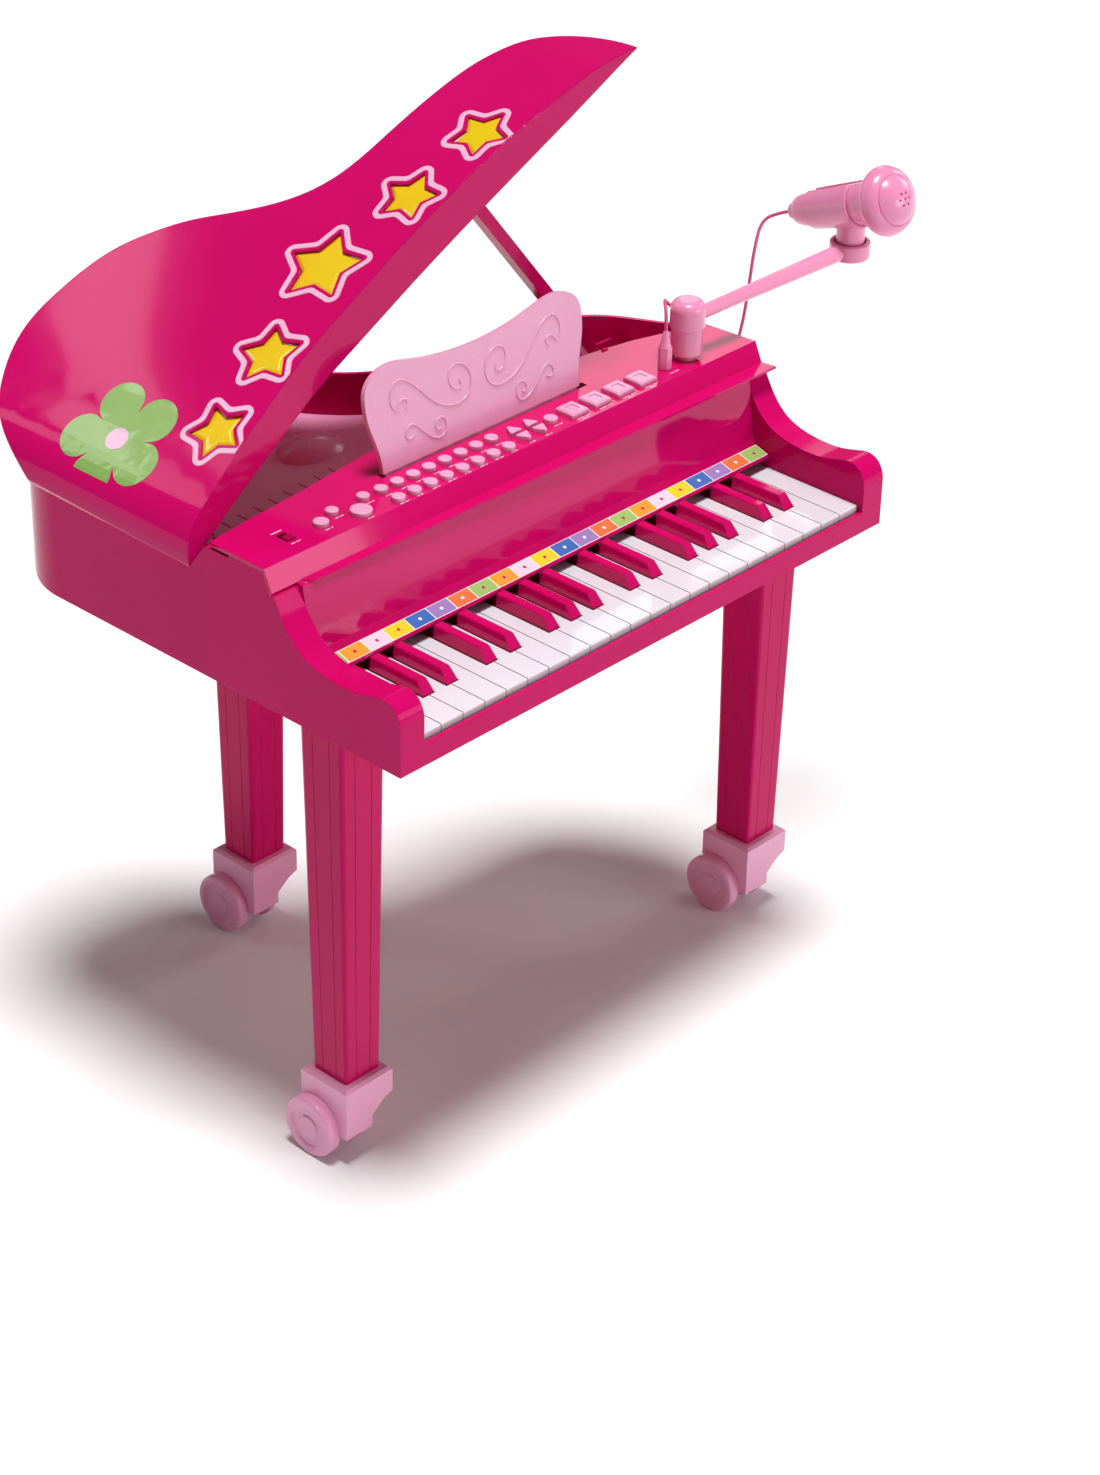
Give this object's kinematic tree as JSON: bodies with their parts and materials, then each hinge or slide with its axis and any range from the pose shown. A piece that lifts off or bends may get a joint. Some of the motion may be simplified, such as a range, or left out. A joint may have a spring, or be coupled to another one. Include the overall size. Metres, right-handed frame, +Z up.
{
  "type": "toy electronic keyboard",
  "caption": "Toy electronic keyboard shaped like a small grand piano on legs, with a propped lid, music stand, push buttons and a corded microphone on a swivel arm.",
  "frame": {"origin": "on the floor, under the middle of the object's bounding box", "axes": "+X to the player's right, +Y from the player towards the tail, +Z up"},
  "size_m": [0.6325, 0.4111, 0.6787],
  "materials": {
    "hot_pink": "glossy moulded plastic",
    "pale_pink": "satin moulded plastic",
    "mic_pink": "satin moulded plastic",
    "white_key": "glossy moulded plastic",
    "yellow": "translucent moulded plastic",
    "base": "moulded plastic",
    "electronics": "circuit board",
    "speaker": "paper cone and pressed frame",
    "cord": "soft jacket"
  },
  "bodies": {
    "case": {"case_shell": "hot_pink", "base_plate": "base", "control_panel": "hot_pink", "soundboard": "pale_pink", "legs": "hot_pink", "caster_feet": "pale_pink", "speaker": "speaker", "circuit_boards": "electronics", "mic_post": "mic_pink", "mic_cord": "cord"},
    "lid": {"lid": "hot_pink", "star_lenses": "yellow"},
    "prop": {"lid_prop": "hot_pink"},
    "stand": {"music_stand": "pale_pink"},
    "arm": {"mic_arm": "mic_pink"},
    "clip": {"mic_clip": "mic_pink"},
    "microphone": {"microphone": "mic_pink"},
    "plug": {"mic_plug": "mic_pink"},
    "battery_door": {"battery_door": "base"},
    "round_buttons": {"round_buttons": "pale_pink"},
    "arrow_buttons": {"arrow_buttons": "pale_pink"},
    "square_buttons": {"square_buttons": "pale_pink"},
    "switch": {"power_switch": "pale_pink"},
    "white_key_01": {"white_key_01": "white_key"},
    "white_key_02": {"white_key_02": "white_key"},
    "white_key_03": {"white_key_03": "white_key"},
    "white_key_04": {"white_key_04": "white_key"},
    "white_key_05": {"white_key_05": "white_key"},
    "white_key_06": {"white_key_06": "white_key"},
    "white_key_07": {"white_key_07": "white_key"},
    "white_key_08": {"white_key_08": "white_key"},
    "white_key_09": {"white_key_09": "white_key"},
    "white_key_10": {"white_key_10": "white_key"},
    "white_key_11": {"white_key_11": "white_key"},
    "white_key_12": {"white_key_12": "white_key"},
    "white_key_13": {"white_key_13": "white_key"},
    "white_key_14": {"white_key_14": "white_key"},
    "white_key_15": {"white_key_15": "white_key"},
    "white_key_16": {"white_key_16": "white_key"},
    "white_key_17": {"white_key_17": "white_key"},
    "white_key_18": {"white_key_18": "white_key"},
    "white_key_19": {"white_key_19": "white_key"},
    "white_key_20": {"white_key_20": "white_key"},
    "white_key_21": {"white_key_21": "white_key"},
    "white_key_22": {"white_key_22": "white_key"},
    "black_key_01": {"black_key_01": "hot_pink"},
    "black_key_02": {"black_key_02": "hot_pink"},
    "black_key_03": {"black_key_03": "hot_pink"},
    "black_key_04": {"black_key_04": "hot_pink"},
    "black_key_05": {"black_key_05": "hot_pink"},
    "black_key_06": {"black_key_06": "hot_pink"},
    "black_key_07": {"black_key_07": "hot_pink"},
    "black_key_08": {"black_key_08": "hot_pink"},
    "black_key_09": {"black_key_09": "hot_pink"},
    "black_key_10": {"black_key_10": "hot_pink"},
    "black_key_11": {"black_key_11": "hot_pink"},
    "black_key_12": {"black_key_12": "hot_pink"},
    "black_key_13": {"black_key_13": "hot_pink"},
    "black_key_14": {"black_key_14": "hot_pink"},
    "black_key_15": {"black_key_15": "hot_pink"}
  },
  "joints": [
    {"name": "white_key_01_press", "type": "hinge", "parent": "case", "child": "white_key_01", "pos_m": [-0.05854, -0.0925, 0.3605], "axis": [1, 0, 0], "range_deg": [0, 2.1], "stiffness_Nm_per_rad": 0.2, "springref_deg": -6.88},
    {"name": "white_key_02_press", "type": "hinge", "parent": "case", "child": "white_key_02", "pos_m": [-0.05854, -0.0925, 0.3605], "axis": [1, 0, 0], "range_deg": [0, 2.1], "stiffness_Nm_per_rad": 0.2, "springref_deg": -6.88},
    {"name": "white_key_03_press", "type": "hinge", "parent": "case", "child": "white_key_03", "pos_m": [-0.05854, -0.0925, 0.3605], "axis": [1, 0, 0], "range_deg": [0, 2.1], "stiffness_Nm_per_rad": 0.2, "springref_deg": -6.88},
    {"name": "white_key_04_press", "type": "hinge", "parent": "case", "child": "white_key_04", "pos_m": [-0.05854, -0.0925, 0.3605], "axis": [1, 0, 0], "range_deg": [0, 2.1], "stiffness_Nm_per_rad": 0.2, "springref_deg": -6.88},
    {"name": "white_key_05_press", "type": "hinge", "parent": "case", "child": "white_key_05", "pos_m": [-0.05854, -0.0925, 0.3605], "axis": [1, 0, 0], "range_deg": [0, 2.1], "stiffness_Nm_per_rad": 0.2, "springref_deg": -6.88},
    {"name": "white_key_06_press", "type": "hinge", "parent": "case", "child": "white_key_06", "pos_m": [-0.05854, -0.0925, 0.3605], "axis": [1, 0, 0], "range_deg": [0, 2.1], "stiffness_Nm_per_rad": 0.2, "springref_deg": -6.88},
    {"name": "white_key_07_press", "type": "hinge", "parent": "case", "child": "white_key_07", "pos_m": [-0.05854, -0.0925, 0.3605], "axis": [1, 0, 0], "range_deg": [0, 2.1], "stiffness_Nm_per_rad": 0.2, "springref_deg": -6.88},
    {"name": "white_key_08_press", "type": "hinge", "parent": "case", "child": "white_key_08", "pos_m": [-0.05854, -0.0925, 0.3605], "axis": [1, 0, 0], "range_deg": [0, 2.1], "stiffness_Nm_per_rad": 0.2, "springref_deg": -6.88},
    {"name": "white_key_09_press", "type": "hinge", "parent": "case", "child": "white_key_09", "pos_m": [-0.05854, -0.0925, 0.3605], "axis": [1, 0, 0], "range_deg": [0, 2.1], "stiffness_Nm_per_rad": 0.2, "springref_deg": -6.88},
    {"name": "white_key_10_press", "type": "hinge", "parent": "case", "child": "white_key_10", "pos_m": [-0.05854, -0.0925, 0.3605], "axis": [1, 0, 0], "range_deg": [0, 2.1], "stiffness_Nm_per_rad": 0.2, "springref_deg": -6.88},
    {"name": "white_key_11_press", "type": "hinge", "parent": "case", "child": "white_key_11", "pos_m": [-0.05854, -0.0925, 0.3605], "axis": [1, 0, 0], "range_deg": [0, 2.1], "stiffness_Nm_per_rad": 0.2, "springref_deg": -6.88},
    {"name": "white_key_12_press", "type": "hinge", "parent": "case", "child": "white_key_12", "pos_m": [-0.05854, -0.0925, 0.3605], "axis": [1, 0, 0], "range_deg": [0, 2.1], "stiffness_Nm_per_rad": 0.2, "springref_deg": -6.88},
    {"name": "white_key_13_press", "type": "hinge", "parent": "case", "child": "white_key_13", "pos_m": [-0.05854, -0.0925, 0.3605], "axis": [1, 0, 0], "range_deg": [0, 2.1], "stiffness_Nm_per_rad": 0.2, "springref_deg": -6.88},
    {"name": "white_key_14_press", "type": "hinge", "parent": "case", "child": "white_key_14", "pos_m": [-0.05854, -0.0925, 0.3605], "axis": [1, 0, 0], "range_deg": [0, 2.1], "stiffness_Nm_per_rad": 0.2, "springref_deg": -6.88},
    {"name": "white_key_15_press", "type": "hinge", "parent": "case", "child": "white_key_15", "pos_m": [-0.05854, -0.0925, 0.3605], "axis": [1, 0, 0], "range_deg": [0, 2.1], "stiffness_Nm_per_rad": 0.2, "springref_deg": -6.88},
    {"name": "white_key_16_press", "type": "hinge", "parent": "case", "child": "white_key_16", "pos_m": [-0.05854, -0.0925, 0.3605], "axis": [1, 0, 0], "range_deg": [0, 2.1], "stiffness_Nm_per_rad": 0.2, "springref_deg": -6.88},
    {"name": "white_key_17_press", "type": "hinge", "parent": "case", "child": "white_key_17", "pos_m": [-0.05854, -0.0925, 0.3605], "axis": [1, 0, 0], "range_deg": [0, 2.1], "stiffness_Nm_per_rad": 0.2, "springref_deg": -6.88},
    {"name": "white_key_18_press", "type": "hinge", "parent": "case", "child": "white_key_18", "pos_m": [-0.05854, -0.0925, 0.3605], "axis": [1, 0, 0], "range_deg": [0, 2.1], "stiffness_Nm_per_rad": 0.2, "springref_deg": -6.88},
    {"name": "white_key_19_press", "type": "hinge", "parent": "case", "child": "white_key_19", "pos_m": [-0.05854, -0.0925, 0.3605], "axis": [1, 0, 0], "range_deg": [0, 2.1], "stiffness_Nm_per_rad": 0.2, "springref_deg": -6.88},
    {"name": "white_key_20_press", "type": "hinge", "parent": "case", "child": "white_key_20", "pos_m": [-0.05854, -0.0925, 0.3605], "axis": [1, 0, 0], "range_deg": [0, 2.1], "stiffness_Nm_per_rad": 0.2, "springref_deg": -6.88},
    {"name": "white_key_21_press", "type": "hinge", "parent": "case", "child": "white_key_21", "pos_m": [-0.05854, -0.0925, 0.3605], "axis": [1, 0, 0], "range_deg": [0, 2.1], "stiffness_Nm_per_rad": 0.2, "springref_deg": -6.88},
    {"name": "white_key_22_press", "type": "hinge", "parent": "case", "child": "white_key_22", "pos_m": [-0.05854, -0.0925, 0.3605], "axis": [1, 0, 0], "range_deg": [0, 2.1], "stiffness_Nm_per_rad": 0.2, "springref_deg": -6.88},
    {"name": "black_key_01_press", "type": "hinge", "parent": "case", "child": "black_key_01", "pos_m": [-0.05854, -0.0925, 0.3605], "axis": [1, 0, 0], "range_deg": [0, 2.1], "stiffness_Nm_per_rad": 0.2, "springref_deg": -6.88},
    {"name": "black_key_02_press", "type": "hinge", "parent": "case", "child": "black_key_02", "pos_m": [-0.05854, -0.0925, 0.3605], "axis": [1, 0, 0], "range_deg": [0, 2.1], "stiffness_Nm_per_rad": 0.2, "springref_deg": -6.88},
    {"name": "black_key_03_press", "type": "hinge", "parent": "case", "child": "black_key_03", "pos_m": [-0.05854, -0.0925, 0.3605], "axis": [1, 0, 0], "range_deg": [0, 2.1], "stiffness_Nm_per_rad": 0.2, "springref_deg": -6.88},
    {"name": "black_key_04_press", "type": "hinge", "parent": "case", "child": "black_key_04", "pos_m": [-0.05854, -0.0925, 0.3605], "axis": [1, 0, 0], "range_deg": [0, 2.1], "stiffness_Nm_per_rad": 0.2, "springref_deg": -6.88},
    {"name": "black_key_05_press", "type": "hinge", "parent": "case", "child": "black_key_05", "pos_m": [-0.05854, -0.0925, 0.3605], "axis": [1, 0, 0], "range_deg": [0, 2.1], "stiffness_Nm_per_rad": 0.2, "springref_deg": -6.88},
    {"name": "black_key_06_press", "type": "hinge", "parent": "case", "child": "black_key_06", "pos_m": [-0.05854, -0.0925, 0.3605], "axis": [1, 0, 0], "range_deg": [0, 2.1], "stiffness_Nm_per_rad": 0.2, "springref_deg": -6.88},
    {"name": "black_key_07_press", "type": "hinge", "parent": "case", "child": "black_key_07", "pos_m": [-0.05854, -0.0925, 0.3605], "axis": [1, 0, 0], "range_deg": [0, 2.1], "stiffness_Nm_per_rad": 0.2, "springref_deg": -6.88},
    {"name": "black_key_08_press", "type": "hinge", "parent": "case", "child": "black_key_08", "pos_m": [-0.05854, -0.0925, 0.3605], "axis": [1, 0, 0], "range_deg": [0, 2.1], "stiffness_Nm_per_rad": 0.2, "springref_deg": -6.88},
    {"name": "black_key_09_press", "type": "hinge", "parent": "case", "child": "black_key_09", "pos_m": [-0.05854, -0.0925, 0.3605], "axis": [1, 0, 0], "range_deg": [0, 2.1], "stiffness_Nm_per_rad": 0.2, "springref_deg": -6.88},
    {"name": "black_key_10_press", "type": "hinge", "parent": "case", "child": "black_key_10", "pos_m": [-0.05854, -0.0925, 0.3605], "axis": [1, 0, 0], "range_deg": [0, 2.1], "stiffness_Nm_per_rad": 0.2, "springref_deg": -6.88},
    {"name": "black_key_11_press", "type": "hinge", "parent": "case", "child": "black_key_11", "pos_m": [-0.05854, -0.0925, 0.3605], "axis": [1, 0, 0], "range_deg": [0, 2.1], "stiffness_Nm_per_rad": 0.2, "springref_deg": -6.88},
    {"name": "black_key_12_press", "type": "hinge", "parent": "case", "child": "black_key_12", "pos_m": [-0.05854, -0.0925, 0.3605], "axis": [1, 0, 0], "range_deg": [0, 2.1], "stiffness_Nm_per_rad": 0.2, "springref_deg": -6.88},
    {"name": "black_key_13_press", "type": "hinge", "parent": "case", "child": "black_key_13", "pos_m": [-0.05854, -0.0925, 0.3605], "axis": [1, 0, 0], "range_deg": [0, 2.1], "stiffness_Nm_per_rad": 0.2, "springref_deg": -6.88},
    {"name": "black_key_14_press", "type": "hinge", "parent": "case", "child": "black_key_14", "pos_m": [-0.05854, -0.0925, 0.3605], "axis": [1, 0, 0], "range_deg": [0, 2.1], "stiffness_Nm_per_rad": 0.2, "springref_deg": -6.88},
    {"name": "black_key_15_press", "type": "hinge", "parent": "case", "child": "black_key_15", "pos_m": [-0.05854, -0.0925, 0.3605], "axis": [1, 0, 0], "range_deg": [0, 2.1], "stiffness_Nm_per_rad": 0.2, "springref_deg": -6.88},
    {"name": "lid_swing", "type": "hinge", "parent": "case", "child": "lid", "pos_m": [-0.29334, 0.0495, 0.4504], "axis": [0, 1, 0], "range_deg": [0, 30]},
    {"name": "prop_fold", "type": "hinge", "parent": "case", "child": "prop", "pos_m": [0.11496, 0.0095, 0.4268], "axis": [0, -1, 0], "range_deg": [0, 50.6]},
    {"name": "stand_lift", "type": "slide", "parent": "case", "child": "stand", "axis": [0, 0.1564, 0.9877], "range_m": [0, 0.03]},
    {"name": "arm_swivel", "type": "hinge", "parent": "case", "child": "arm", "pos_m": [0.12546, -0.0665, 0.482], "axis": [0, 0, 1], "range_deg": [-60, 40], "deforming": ["mic_cord"]},
    {"name": "clip_swivel", "type": "hinge", "parent": "arm", "child": "clip", "pos_m": [0.29306, -0.078, 0.4862], "axis": [0, 0, 1], "range_deg": [-70, 70], "deforming": ["mic_cord"]},
    {"name": "microphone_out", "type": "slide", "parent": "clip", "child": "microphone", "axis": [-0.0741, -0.9216, 0.3811], "range_m": [0, 0.1], "deforming": ["mic_cord"]},
    {"name": "plug_out", "type": "slide", "parent": "case", "child": "plug", "axis": [0, 0, 1], "range_m": [0, 0.03], "deforming": ["mic_cord"]},
    {"name": "battery_door_out", "type": "slide", "parent": "case", "child": "battery_door", "axis": [0, 0, -1], "range_m": [0, 0.03]},
    {"name": "round_buttons_press", "type": "slide", "parent": "case", "child": "round_buttons", "axis": [0, 0, -1], "range_m": [0, 0.0015], "stiffness_N_per_m": 300, "springref_m": -0.002},
    {"name": "arrow_buttons_press", "type": "slide", "parent": "case", "child": "arrow_buttons", "axis": [0, 0, -1], "range_m": [0, 0.0015], "stiffness_N_per_m": 300, "springref_m": -0.002},
    {"name": "square_buttons_press", "type": "slide", "parent": "case", "child": "square_buttons", "axis": [0, 0, -1], "range_m": [0, 0.0015], "stiffness_N_per_m": 300, "springref_m": -0.002},
    {"name": "switch_slide", "type": "slide", "parent": "case", "child": "switch", "axis": [0, 1, 0], "range_m": [0, 0.005]}
  ],
  "couplings": [
    {"joint": "prop_fold", "follows": "lid_swing", "ratio": 1.6853}
  ]
}
